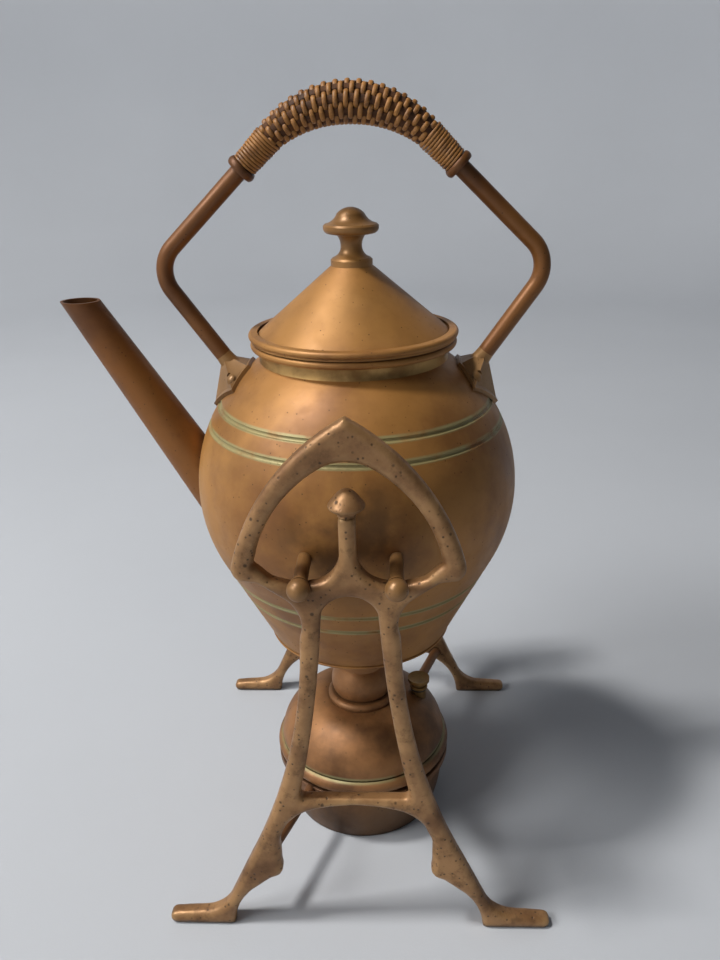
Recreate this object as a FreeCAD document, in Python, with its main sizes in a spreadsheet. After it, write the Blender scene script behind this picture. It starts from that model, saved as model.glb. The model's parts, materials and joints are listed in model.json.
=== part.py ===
import FreeCAD, Part
import math
import os

import Sketcher

# Copper spirit kettle on a two-frame cast stand, with its spirit burner and a cane-bound bow handle.
# Millimetres. Z is up, the spout points to -X, the frames stand before and behind at -Y and +Y.
# The origin is on the floor, on the axis that the kettle, the lid and the burner share.

X_AXIS = FreeCAD.Vector(1, 0, 0)
Y_AXIS = FreeCAD.Vector(0, 1, 0)
UP = FreeCAD.Vector(0, 0, 1)
QUARTER_TURN = 90
SIDES = {"left": -1, "right": 1}
FACES = {"front": -1, "rear": 1}
# How many times larger a cutting block or an outline's pad is than the piece that it shapes.
OVERSIZE = 6
# How far the layer that the foot plates are cut from runs past their tips.
SKIN_MARGIN = 1.2

SIZES = {
    # Clearances
    "swing_gap": 0.4,
    "lift_gap": 0.3,
    "seat_clearance": 0.08,
    "stopper_clearance": 0.08,
    # Kettle shell
    "kettle_height": 103,
    "shell_wall": 1.2,
    "base_thickness": 1.2,
    "base_lip": 0.5,
    "belly_radius": 70.3,
    "belly_curve": 67.5,
    "belly_height": 74,
    "taper_angle": 26.4,
    "neck_radius": 40,
    "collar_wall": 1.2,
    "collar_height": 5.2,
    "collar_waist": 0.5,
    "mouth_bead_width": 2.2,
    "mouth_bead_height": 3,
    "mouth_bead_crown": 1.3,
    "groove_radius": 1.1,
    "groove_depth": 0.55,
    "upper_groove_drop": 17.8,
    "upper_groove_spacing": 8.1,
    "lower_groove_height": 27,
    "lower_groove_spacing": 9.6,
    # Spout
    "spout_reach": 114.9,
    "spout_height": 155.3,
    "spout_angle": 59.5,
    "spout_flare_angle": 2.1,
    "spout_tip_radius": 7.15,
    "spout_wall": 1,
    "spout_length": 140,
    "spout_hole_radius": 7.5,
    # Pegs
    "peg_spread": 17.5,
    "peg_height": 69,
    "peg_radius": 2.7,
    "peg_inset": 3.5,
    "peg_collar_width": 0.7,
    "peg_collar_length": 0.9,
    "peg_ball_radius": 4.3,
    # Handle
    "foot_angle": 46,
    "arm_angle": 55,
    "arm_length": 44.8,
    "handle_slope": 44,
    "handle_bend": 14,
    "handle_crown": 46,
    "handle_radius": 3.5,
    "boss_radius": 6.6,
    "boss_height": 11,
    "boss_root": 6,
    "boss_waist": 0.7,
    "plate_thickness": 1.6,
    "plate_tip": 17.3,
    "plate_tip_width": 3,
    "plate_width": 36,
    "plate_corner": 1.5,
    "plate_top": 8,
    "plate_top_width": 14,
    "plate_hollow": 0.4,
    "pad_root": 1.2,
    "pad_height": 8.5,
    "pad_head_share": 0.22,
    "rivet_spread": 12,
    "rivet_lean": 35,
    "rivet_radius": 1.5,
    "rivet_length": 6.5,
    "rivet_head_radius": 2.3,
    "rivet_head_height": 1.1,
    "rivet_sink": 0.9,
    "rivet_seat_radius": 2.9,
    "ferrule_radius": 6.1,
    "ferrule_width": 3.2,
    "ferrule_crown": 0.6,
    # Cane grip
    "sleeve_radius": 4.15,
    "wrap_length": 13.2,
    "wrap_turns": 10,
    "wrap_pitch": 1.25,
    "cane_diameter": 0.82,
    "cane_gap": 0.03,
    "grip_end_radius": 5.2,
    "grip_quarter_radius": 6.8,
    "grip_swell_radius": 7.9,
    "grip_middle_radius": 8.3,
    # Lid
    "plug_clearance": 0.4,
    "plug_wall": 0.8,
    "plug_depth": 7,
    "flange_thickness": 0.8,
    "flange_width": 4.6,
    "lid_radius": 40.3,
    "lid_edge": 1.5,
    "lid_wall": 1,
    "lid_height": 28.5,
    "lid_top_radius": 8.6,
    "lid_bead_width": 2.6,
    "lid_bead_height": 2.8,
    "lid_bead_crown": 1.2,
    "knob_radius": 11.3,
    "knob_rim_height": 15,
    "knob_rim_thickness": 1.4,
    "knob_rim_step": 0.7,
    "knob_roll": 0.6,
    "knob_lip_radius": 9.4,
    "knob_lip_height": 12.7,
    "knob_bead_radius": 5.9,
    "knob_bead_height": 12.1,
    "knob_neck_radius": 4.4,
    "knob_neck_height": 7.4,
    "knob_neck_curve": 0.5,
    "knob_foot_thickness": 2.4,
    "knob_foot_slope": 0.8,
    "knob_foot_curve": 0.9,
    "knob_hollow": 0.8,
    "knob_top_radius": 5.6,
    "knob_shoulder": 20.4,
    "knob_crown": 2.4,
    "stud_radius": 2.4,
    "stud_length": 6,
    "nut_radius": 4.6,
    "nut_thickness": 3,
    # Burner
    "bowl_base_radius": 35.4,
    "bowl_radius": 40.2,
    "bowl_height": 31,
    "bowl_swell": 1.6,
    "bowl_edge": 1,
    "bowl_wall": 1.2,
    "band_radius": 41,
    "band_height": 6.8,
    "band_crown": 2.3,
    "seam_depth": 0.9,
    "seam_height": 0.9,
    "dome_height": 21.6,
    "dome_crown": 6.6,
    "dome_wall": 1.2,
    "dome_opening": 11,
    "neck_flange_radius": 17,
    "neck_flange_height": 3.1,
    "neck_flange_slope": 1.9,
    "burner_neck_foot": 13.4,
    "burner_neck_swell": 2.7,
    "burner_neck_radius": 11,
    "burner_bulb_height": 15,
    "burner_neck_height": 24,
    "burner_wall": 1.2,
    "tube_radius": 6.5,
    "tube_wall": 1,
    "tube_rise": 3.6,
    "tube_foot": 6,
    "tube_flange_thickness": 1.2,
    "wick_clearance": 0.1,
    "wick_rise": 2,
    "wick_foot": 2,
    "filler_across": 28.5,
    "filler_back": 2,
    "filler_height": 60.4,
    "filler_drop": 10,
    "filler_radius": 3.8,
    "filler_bore": 2.6,
    "seal_thickness": 0.8,
    "cap_plug_length": 6,
    "cap_bead_radius": 4.5,
    "cap_bead_height": 2,
    "cap_waist_radius": 3.6,
    "cap_rim_radius": 5.4,
    "cap_rim_height": 4.2,
    "cap_height": 6,
    "cap_dish": 0.6,
    # Stand
    "frame_offset": 83.5,
    "frame_depth": 7.5,
    "arch_rise": 61.5,
    "arch_half_width": 42.3,
    "arch_corner_rise": 5.5,
    "arch_corner_width": 2.8,
    "arch_bulge": 7.2,
    "arch_band": 8.2,
    "arch_crown_depth": 15.2,
    "arch_crown_half": 10,
    "arch_crown_rise": 3,
    "arch_inner_bulge": 4.3,
    "shoulder_half_width": 33.5,
    "saddle_rim": 5.2,
    "saddle_slope": 2.3,
    "stem_half_width": 2.9,
    "stem_height": 25.2,
    "stem_flare_height": 12,
    "stem_flare": 3,
    "waist_drop": 25,
    "waist_half_width": 18.7,
    "waist_curve": 3,
    "armpit_drop": 7.5,
    "armpit_half_width": 23.5,
    "window_corner": 2.1,
    "bridge_drop": 14,
    "bridge_half_width": 10.9,
    "bridge_rise": 7.7,
    "leg_bow": 6.2,
    "leg_inner_bow": 1.6,
    "knee_height": 36.5,
    "knee_half_width": 45.5,
    "stretcher_height": 70.5,
    "stretcher_thickness": 2.9,
    "stretcher_half_width": 22.6,
    "stretcher_root": 17,
    "stretcher_arch": 2.4,
    "heel_half_width": 32.2,
    "heel_height": 34.5,
    "heel_throat": 8.5,
    "heel_throat_curve": 4.9,
    "heel_round": 2.2,
    "heel_sole_height": 27.5,
    "heel_sole_width": 4.3,
    "ankle_half_width": 46,
    "ankle_height": 19.5,
    "ankle_curve": 2,
    "foot_inner": 54.5,
    "foot_reach": 83,
    "foot_height": 5,
    "toe_round": 2.1,
    "instep_half_width": 66,
    "instep_height": 6.2,
    "instep_curve": 1.9,
    "shin_half_width": 54.5,
    "shin_height": 16.5,
    "bud_radius": 6.7,
    "bud_widest": 3.9,
    "bud_height": 10.2,
    "bud_foot": 3.2,
    "bud_foot_rise": 0.8,
    "bud_crown": 1.3,
    "bud_spigot_radius": 1.6,
    "bud_spigot_length": 5,
    "ring_radius": 43.1,
    "ring_wall": 2.2,
    "ring_width": 3.4,
    "ring_drop": 0.4,
    "rod_radius": 2.6,
    "rod_heel": 41,
    "rod_angle": 20.6,
    "rod_length": 50,
    "rod_tenon": 3,
}

doc = FreeCAD.newDocument("spirit_kettle")
sheet = doc.addObject("Spreadsheet::Sheet", "Sizes")


class Size:
    """A measure that is bound to the sheet: its number now, and the formula that gives it."""

    def __init__(self, number, formula):
        self.number = number
        self.formula = formula

    def joined(self, sign, other, number):
        return Size(number, f"({self.formula} {sign} {other.formula})")

    def __add__(self, other):
        other = measure(other)
        return self.joined("+", other, self.number + other.number)

    def __sub__(self, other):
        other = measure(other)
        return self.joined("-", other, self.number - other.number)

    def __mul__(self, other):
        other = measure(other)
        return self.joined("*", other, self.number * other.number)

    def __truediv__(self, other):
        other = measure(other)
        return self.joined("/", other, self.number / other.number)

    def __radd__(self, other):
        return measure(other) + self

    def __rsub__(self, other):
        return measure(other) - self

    def __rmul__(self, other):
        return measure(other) * self

    def __neg__(self):
        return -1 * self


class Bow:
    """An arc's rise above its chord, positive where it bulges to the right of the way it is drawn."""

    def __init__(self, rise):
        self.rise = measure(rise)

    def __neg__(self):
        return Bow(-self.rise)


def measure(value):
    return value if isinstance(value, Size) else Size(value, f"({value!r})")


def root(value):
    return Size(math.sqrt(value.number), f"sqrt({value.formula})")


def sine(angle):
    return Size(math.sin(math.radians(angle.number)), f"sin({angle.formula})")


def cosine(angle):
    return Size(math.cos(math.radians(angle.number)), f"cos({angle.formula})")


def tangent(angle):
    return Size(math.tan(math.radians(angle.number)), f"tan({angle.formula})")


def fill_sheet():
    bound = {}
    for row, (alias, number) in enumerate(SIZES.items(), start=1):
        sheet.set(f"A{row}", alias)
        sheet.set(f"B{row}", str(number))
        sheet.setAlias(f"B{row}", alias)
        bound[alias] = Size(number, f"Sizes.{alias}")
    doc.recompute()
    return bound


S = fill_sheet()


# Drawing and shaping

def side_radius(start, end, side):
    """The radius of the arc from start to end, and whether it turns to the left."""
    if isinstance(side, Bow):
        across = end[0] - start[0]
        along = end[1] - start[1]
        radius = ((across * across + along * along) / 4 + side.rise * side.rise) / (2 * side.rise)
    else:
        radius = side
    left = radius.number > 0
    return (radius if left else -radius), left


def side_geometry(start, end, side):
    """The line or arc from start to end, with the numbers of its two ends and its radius."""
    first = FreeCAD.Vector(start[0].number, start[1].number, 0)
    last = FreeCAD.Vector(end[0].number, end[1].number, 0)
    if side is None:
        return Part.LineSegment(first, last), 1, 2, None
    radius, left = side_radius(start, end, side)
    chord = last - first
    across = FreeCAD.Vector(-chord.y, chord.x, 0).normalize()
    reach = math.sqrt(max(radius.number ** 2 - chord.Length ** 2 / 4, 0))
    centre = (first + last) / 2 + across * (reach if left else -reach)
    if not left:
        first, last = last, first
    begin = math.atan2(first.y - centre.y, first.x - centre.x)
    finish = math.atan2(last.y - centre.y, last.x - centre.x)
    if finish < begin:
        finish += 2 * math.pi
    circle = Part.Circle(centre, UP, radius.number)
    ends = (1, 2) if left else (2, 1)
    return Part.ArcOfCircle(circle, begin, finish), *ends, radius


def draw(sketch, outline, closed=True):
    """Draws corners (x, y) or (x, y, side), where side bends the way to the next corner."""
    corners = [(measure(corner[0]), measure(corner[1])) for corner in outline]
    sides = [corner[2] if len(corner) > 2 else None for corner in outline]
    count = len(corners) if closed else len(corners) - 1
    offset = sketch.GeometryCount
    drawn = [side_geometry(corners[k], corners[(k + 1) % len(corners)], sides[k]) for k in range(count)]
    sketch.addGeometry([geometry for geometry, *_ in drawn], False)
    rules = []
    formulas = {}

    def fix(point, curve, end):
        for kind, value in zip(("DistanceX", "DistanceY"), point):
            formulas[sketch.ConstraintCount + len(rules)] = value.formula
            rules.append(Sketcher.Constraint(kind, -1, 1, curve, end, value.number))

    for k, (_, begin, finish, radius) in enumerate(drawn):
        fix(corners[k], offset + k, begin)
        if radius is not None:
            formulas[sketch.ConstraintCount + len(rules)] = radius.formula
            rules.append(Sketcher.Constraint("Radius", offset + k, radius.number))
        if closed or k + 1 < count:
            following = (k + 1) % count
            rules.append(Sketcher.Constraint(
                "Coincident", offset + k, finish, offset + following, drawn[following][1]))
        else:
            fix(corners[-1], offset + k, finish)
    sketch.addConstraint(rules)
    for index, formula in formulas.items():
        sketch.setExpression(f"Constraints[{index}]", formula)


def arc_over(half_width, rise):
    """The radius of an arc that rises to the middle of a symmetrical span."""
    return (half_width * half_width + rise * rise) / (2 * rise)


def new_body(label):
    body = doc.addObject("PartDesign::Body", label)
    body.Label = label
    return body


def sketch_on(body, role):
    sketch = body.newObject("Sketcher::SketchObject", f"{body.Name}_outline")
    plane = next(feature for feature in body.Origin.OriginFeatures if feature.Role == role)
    sketch.AttachmentSupport = (plane, [""])
    sketch.MapMode = "FlatFace"
    return sketch


def turned(label, outline):
    """A body turned round its own Z axis from an outline in radius and height."""
    body = new_body(label)
    sketch = sketch_on(body, "XZ_Plane")
    draw(sketch, outline)
    turn = body.newObject("PartDesign::Revolution", f"{label}_turn")
    turn.Profile = sketch
    turn.ReferenceAxis = (sketch, ["V_Axis"])
    turn.Angle = 360
    return body


def padded(label, role, outline, depth):
    """A body padded to both sides of an origin plane."""
    body = new_body(label)
    sketch = sketch_on(body, role)
    draw(sketch, outline)
    pad = body.newObject("PartDesign::Pad", f"{label}_pad")
    pad.Profile = sketch
    pad.SideType = "Symmetric"
    pad.setExpression("Length", depth.formula)
    return body


def primitive(kind, label, **sizes):
    solid = doc.addObject(f"Part::{kind}", label)
    for name, value in sizes.items():
        solid.setExpression(name, measure(value).formula)
    return solid


def joined(label, pieces):
    fuse = doc.addObject("Part::MultiFuse", label)
    fuse.Shapes = pieces
    return fuse


def cut(label, piece, tools):
    result = doc.addObject("Part::Cut", label)
    result.Base = piece
    result.Tool = tools[0] if len(tools) == 1 else joined(f"{label}_tools", tools)
    return result


def put(piece, x=0, y=0, z=0, axis=UP, angle=0):
    """Places a piece, with its place and its turn about the axis bound to the sheet."""
    spot = [measure(value) for value in (x, y, z)]
    turn = measure(angle)
    base = FreeCAD.Vector(*[value.number for value in spot])
    piece.Placement = FreeCAD.Placement(base, FreeCAD.Rotation(axis, turn.number))
    for letter, value in zip("xyz", spot):
        piece.setExpression(f"Placement.Base.{letter}", value.formula)
    if turn.number:
        piece.setExpression("Placement.Rotation.Angle", turn.formula)
    return piece


def backwards(path):
    """The same corners and bends, drawn from the last corner to the first."""
    turned_path = []
    for k in range(len(path) - 1, -1, -1):
        bend = path[k - 1][2:] if k else ()
        turned_path.append((*path[k][:2], *[-side for side in bend]))
    return turned_path


nodes = {}


def keep(label, piece):
    piece.Label = label
    nodes[label] = piece
    return piece


# Measures that several pieces share

belly_centre = S["belly_radius"] - S["belly_curve"]


def belly_point(angle, offset=0):
    """A point of the belly's profile at an angle above the equator, offset outwards."""
    reach = S["belly_curve"] + offset
    return belly_centre + reach * cosine(angle), S["belly_height"] + reach * sine(angle)


def belly_radius_at(height):
    drop = height - S["belly_height"]
    return belly_centre + root(S["belly_curve"] * S["belly_curve"] - drop * drop)


def neck_level(radius, offset=0):
    """The height at which the belly's profile, offset outwards, closes in to a radius."""
    reach = S["belly_curve"] + offset
    across = radius - belly_centre
    return S["belly_height"] + root(reach * reach - across * across)


hip = belly_point(-S["taper_angle"])
base_radius = hip[0] - (hip[1] - S["base_thickness"]) * tangent(S["taper_angle"])
collar_foot = neck_level(S["neck_radius"])
mouth_radius = S["neck_radius"] - S["collar_wall"]
mouth_foot = collar_foot + S["collar_height"]
mouth_top = mouth_foot + S["mouth_bead_height"]
lid_level = S["kettle_height"] + mouth_top + S["lift_gap"]
peg_level = S["kettle_height"] + S["peg_height"]
frame_face = S["frame_offset"] + S["frame_depth"] / 2


def taper_radius_at(height):
    return base_radius + (height - S["base_thickness"]) * tangent(S["taper_angle"])


def on_kettle(piece, x=0, y=0, z=0, axis=UP, angle=0):
    return put(piece, x, y, S["kettle_height"] + z, axis, angle)


# Kettle: shell, base, collar and mouth

def kettle_envelope():
    """The solid inside the kettle's outer surface, which shapes what is set on it."""
    neck = (S["neck_radius"], collar_foot)
    outline = [
        (0, S["base_thickness"]),
        (base_radius, S["base_thickness"]),
        (*hip, S["belly_curve"]),
        neck,
        (0, collar_foot),
    ]
    return on_kettle(turned("kettle_envelope", outline))


def kettle_shell():
    inner_hip = belly_point(-S["taper_angle"], -S["shell_wall"])
    inner_base = base_radius - S["shell_wall"] / cosine(S["taper_angle"])
    inner_neck = (mouth_radius, neck_level(mouth_radius, -S["shell_wall"]))
    outline = [
        (inner_base, S["base_thickness"]),
        (base_radius, S["base_thickness"]),
        (*hip, S["belly_curve"]),
        (S["neck_radius"], collar_foot),
        (*inner_neck, -(S["belly_curve"] - S["shell_wall"])),
        inner_hip,
    ]
    return on_kettle(turned("kettle_shell", outline))


def kettle_groove(name, radius, height):
    stand_off = S["groove_radius"] - S["groove_depth"]
    ring = primitive("Torus", f"{name}_groove", Radius1=radius + stand_off, Radius2=S["groove_radius"])
    return on_kettle(ring, z=height)


def kettle_grooves():
    """Two pairs: one on the shoulder, measured down from the collar, and one near the base."""
    upper = collar_foot - S["upper_groove_drop"]
    shoulder = upper - S["upper_groove_spacing"]
    foot = S["lower_groove_height"]
    lower = foot + S["lower_groove_spacing"]
    return [
        kettle_groove("upper", belly_radius_at(upper), upper),
        kettle_groove("shoulder", belly_radius_at(shoulder), shoulder),
        kettle_groove("lower", taper_radius_at(lower), lower),
        kettle_groove("foot", taper_radius_at(foot), foot),
    ]


def kettle_base():
    outline = [
        (0, 0),
        (base_radius, 0, Bow(S["base_lip"])),
        (base_radius, S["base_thickness"]),
        (0, S["base_thickness"]),
    ]
    return on_kettle(turned("kettle_base", outline))


def neck_collar():
    outline = [
        (mouth_radius, 0),
        (S["neck_radius"], 0, Bow(-S["collar_waist"])),
        (S["neck_radius"], S["collar_height"]),
        (mouth_radius, S["collar_height"]),
    ]
    return on_kettle(turned("neck_collar", outline), z=collar_foot)


def mouth_rim():
    edge = S["neck_radius"] + S["mouth_bead_width"]
    outline = [
        (mouth_radius, 0),
        (edge, 0, Bow(S["mouth_bead_crown"])),
        (edge, S["mouth_bead_height"]),
        (mouth_radius, S["mouth_bead_height"]),
    ]
    return on_kettle(turned("mouth_rim", outline), z=mouth_foot)


# Kettle: spout and pegs

def along_spout(piece):
    lean = QUARTER_TURN - S["spout_angle"]
    return on_kettle(piece, -S["spout_reach"], 0, S["spout_height"], -Y_AXIS, lean)


def spout_bore_tool():
    bore = primitive("Cylinder", "spout_bore", Radius=S["spout_hole_radius"], Height=S["spout_length"])
    slope = S["spout_angle"]
    x = S["spout_length"] * cosine(slope) - S["spout_reach"]
    z = S["spout_height"] - S["spout_length"] * sine(slope)
    return on_kettle(bore, x, 0, z, -Y_AXIS, QUARTER_TURN - slope)


def spout(envelope):
    spread = tangent(S["spout_flare_angle"])
    ahead = S["spout_tip_radius"]
    root_radius = S["spout_tip_radius"] + S["spout_length"] * spread
    end_radius = S["spout_tip_radius"] - ahead * spread
    outline = [
        (root_radius - S["spout_wall"], -S["spout_length"]),
        (root_radius, -S["spout_length"]),
        (end_radius, ahead),
        (end_radius - S["spout_wall"], ahead),
    ]
    cone = along_spout(turned("spout_cone", outline))
    block = OVERSIZE * S["spout_tip_radius"]
    level = primitive("Box", "spout_level", Length=block, Width=block, Height=block)
    on_kettle(level, -S["spout_reach"] - block / 2, -block / 2, S["spout_height"])
    return cut("spout", cone, [envelope, level])


def peg(label, side, face):
    """A ball-ended peg, turned round its own axis and set through the wall."""
    wall = root(S["belly_radius"] * S["belly_radius"] - S["peg_spread"] * S["peg_spread"])
    inner = wall - S["peg_inset"]
    shaft = frame_face + S["swing_gap"] - inner
    collar = S["peg_radius"] + S["peg_collar_width"]
    ball_foot = shaft + S["peg_collar_length"]
    ball = S["peg_ball_radius"]
    ball_top = ball_foot + root(ball * ball - S["peg_radius"] * S["peg_radius"]) + ball
    outline = [
        (0, 0),
        (S["peg_radius"], 0),
        (S["peg_radius"], shaft),
        (collar, shaft),
        (collar, ball_foot),
        (S["peg_radius"], ball_foot, ball),
        (0, ball_top),
    ]
    body = turned(label, outline)
    return on_kettle(body, side * S["peg_spread"], face * inner, S["peg_height"],
                     -face * X_AXIS, QUARTER_TURN)


# Kettle: handle

def foot_place(side, x=0, y=0, z=0):
    """A place on the shoulder under a handle foot: x down the slope, z out of the surface."""
    spot = belly_point(S["foot_angle"])
    down = sine(S["foot_angle"]), -cosine(S["foot_angle"])
    out = cosine(S["foot_angle"]), sine(S["foot_angle"])
    return {
        "x": side * (spot[0] + down[0] * x + out[0] * z),
        "y": y,
        "z": spot[1] + down[1] * x + out[1] * z,
        "axis": side * Y_AXIS,
        "angle": QUARTER_TURN - S["foot_angle"],
    }


def arm_point(distance):
    """A point of the handle's arm, at a distance from the shoulder."""
    spot = belly_point(S["foot_angle"])
    return spot[0] + distance * cosine(S["arm_angle"]), spot[1] + distance * sine(S["arm_angle"])


arm_foot = arm_point(S["boss_height"])
elbow = arm_point(S["boss_height"] + S["arm_length"])
crown_x = S["handle_crown"] * sine(S["handle_slope"])
crown_z = elbow[1] + (elbow[0] - crown_x) * tangent(S["handle_slope"])
crown_centre = crown_z - S["handle_crown"] * cosine(S["handle_slope"])


def slope_point(distance):
    """A point of the handle's straight slope, at a distance below the top arc."""
    return crown_x + distance * cosine(S["handle_slope"]), crown_z - distance * sine(S["handle_slope"])


def on_slope(piece, side, distance):
    """Sets a piece on the slope, its Z axis along the rod and down towards the elbow."""
    spot = slope_point(distance)
    return on_kettle(piece, side * spot[0], 0, spot[1], side * Y_AXIS, QUARTER_TURN + S["handle_slope"])


def handle_bow():
    turn = (180 - S["handle_slope"] - S["arm_angle"]) / 2
    cut_back = S["handle_bend"] * tangent(turn)
    below = arm_point(S["boss_height"] + S["arm_length"] - cut_back)
    above = elbow[0] - cut_back * cosine(S["handle_slope"]), elbow[1] + cut_back * sine(S["handle_slope"])
    spine = doc.addObject("Sketcher::SketchObject", "handle_spine")
    on_kettle(spine, axis=X_AXIS, angle=QUARTER_TURN)
    draw(spine, [
        arm_foot,
        (*below, S["handle_bend"]),
        above,
        (crown_x, crown_z, S["handle_crown"]),
        (-crown_x, crown_z),
        (-above[0], above[1], S["handle_bend"]),
        (-below[0], below[1]),
        (-arm_foot[0], arm_foot[1]),
    ], closed=False)
    section = primitive("Circle", "handle_section", Radius=S["handle_radius"])
    on_kettle(section, arm_foot[0], 0, arm_foot[1], Y_AXIS, QUARTER_TURN - S["arm_angle"])
    doc.recompute()
    sweep = doc.addObject("Part::Sweep", "handle_bow")
    sweep.Sections = [section]
    sweep.Spine = (spine, [f"Edge{k + 1}" for k in range(len(spine.Shape.Edges))])
    sweep.Solid = True
    return sweep


def shoulder_skin():
    """A layer on the shoulder, as thick as the handle's foot plates."""
    reach = S["plate_tip"] / S["belly_curve"] * math.degrees(SKIN_MARGIN)
    low = S["foot_angle"] - reach
    high = S["foot_angle"] + reach
    thick = S["plate_thickness"]
    outline = [
        (*belly_point(low, thick), S["belly_curve"] + thick),
        belly_point(high, thick),
        (*belly_point(high), -S["belly_curve"]),
        belly_point(low),
    ]
    return on_kettle(turned("shoulder_skin", outline))


def plate_outline(side, share=1, shift=0):
    """The lozenge of a handle foot, seen square to the shoulder, at a share of its size."""
    tip = share * S["plate_tip_width"] / 2
    wide = share * S["plate_width"] / 2
    top = share * S["plate_top_width"] / 2
    hollow = Bow(-side * share * S["plate_hollow"])
    low = side * (share * S["plate_tip"] + shift)
    corner = side * (share * S["plate_corner"] + shift)
    high = side * (shift - share * S["plate_top"])
    return [
        (low, -tip),
        (low, tip),
        (corner, wide, hollow),
        (high, top),
        (high, -top, hollow),
        (corner, -wide),
    ]


def foot_plate(name, side):
    outline = plate_outline(side)
    plate = padded(f"{name}_plate_outline", "XY_Plane", outline, OVERSIZE * S["plate_thickness"])
    return on_kettle(plate, **foot_place(side))


pad_shift = -S["pad_height"] * tangent(S["arm_angle"] - S["foot_angle"])


def foot_pad(name, side):
    """The faceted body of a foot, which narrows from the plate's outline to the rod."""
    sections = {
        "foot": (plate_outline(side), -S["pad_root"]),
        "head": (plate_outline(side, S["pad_head_share"], pad_shift), S["pad_height"]),
    }
    loft = doc.addObject("Part::Loft", f"{name}_pad")
    wires = []
    for word, (outline, height) in sections.items():
        wire = doc.addObject("Sketcher::SketchObject", f"{name}_pad_{word}")
        draw(wire, outline)
        wires.append(on_kettle(wire, **foot_place(side, 0, 0, height)))
    loft.Sections = wires
    loft.Solid = True
    loft.Ruled = True
    return loft


def rivet_place(side, face):
    """Where a rivet's head sits: sunk in the ridge that runs from the rod to a front or rear corner."""
    corner = S["plate_corner"]
    wide = S["plate_width"] / 2
    share = S["pad_head_share"]
    run = (wide - S["rivet_spread"]) / (wide - share * wide)
    drop = corner + (share * corner + pad_shift - corner) * run
    height = (S["pad_height"] + S["pad_root"]) * run - S["pad_root"]
    out = height - S["rivet_sink"] * cosine(S["rivet_lean"])
    spread = S["rivet_spread"] - S["rivet_sink"] * sine(S["rivet_lean"])
    place = foot_place(side, drop, face * spread, out)
    lean = FreeCAD.Rotation(X_AXIS, -face * S["rivet_lean"].number)
    turn = FreeCAD.Rotation(place["axis"], place["angle"].number) * lean
    return {**place, "axis": turn.Axis, "angle": math.degrees(turn.Angle)}


def handle_rivet(name, side, face):
    """A rivet with a domed head, through its foot and the kettle's wall."""
    head = S["rivet_head_radius"]
    outline = [
        (0, -S["rivet_length"]),
        (S["rivet_radius"], -S["rivet_length"]),
        (S["rivet_radius"], 0),
        (head, 0, arc_over(head, S["rivet_head_height"])),
        (0, S["rivet_head_height"]),
    ]
    return on_kettle(turned(name, outline), **rivet_place(side, face))


def rivet_seat(name, side, face):
    """The flat round seat milled in a foot for a rivet's head."""
    radius = S["rivet_seat_radius"]
    height = OVERSIZE * S["rivet_head_height"]
    outline = [(0, 0), (radius, 0), (radius, height), (0, height)]
    return on_kettle(turned(name, outline), **rivet_place(side, face))


def handle_foot(name, side, skin, envelope, rivets):
    boss_outline = [
        (0, -S["boss_root"]),
        (S["boss_radius"], -S["boss_root"]),
        (S["boss_radius"], 0, Bow(-S["boss_waist"])),
        (S["handle_radius"], S["boss_height"]),
        (0, S["boss_height"]),
    ]
    boss = turned(f"{name}_boss", boss_outline)
    spot = belly_point(S["foot_angle"])
    on_kettle(boss, side * spot[0], 0, spot[1], side * Y_AXIS, QUARTER_TURN - S["arm_angle"])
    plate = doc.addObject("Part::Common", f"{name}_plate")
    plate.Base = foot_plate(name, side)
    plate.Tool = skin
    casting = joined(f"{name}_casting", [plate, boss, foot_pad(name, side)])
    seats = [rivet_seat(f"{name}_{face}_seat", side, way) for face, way in FACES.items()]
    return cut(name, casting, [envelope, *rivets, *seats])


def ferrule(label, side):
    outline = [
        (S["handle_radius"], 0),
        (S["ferrule_radius"] - S["ferrule_crown"], 0, Bow(S["ferrule_crown"])),
        (S["ferrule_radius"] - S["ferrule_crown"], S["ferrule_width"]),
        (S["handle_radius"], S["ferrule_width"]),
    ]
    return on_slope(turned(label, outline), side, S["wrap_length"])


# Cane grip

def biarc(start, start_way, end, end_way):
    """Two tangent arcs from start to end, each as three points."""
    span = end - start
    spread = 2 * (1 - start_way.dot(end_way))
    pull = 2 * span.dot(start_way + end_way)
    handle = (math.sqrt(pull * pull + 4 * spread * span.dot(span)) - pull) / (2 * spread)
    first = start + start_way * handle
    second = end - end_way * handle
    meeting = (first + second) / 2
    return [arc_points(start, first, meeting), arc_points(meeting, second, end)]


def arc_points(start, corner, end):
    """An arc that touches start-corner and corner-end, as start, middle and end."""
    middle = (start + end) / 2
    rise = corner - middle
    half = (end - start).Length / 2
    side = (corner - start).Length
    sagitta = half * (side - half) / rise.Length
    return start, middle + rise / rise.Length * sagitta, end


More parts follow.
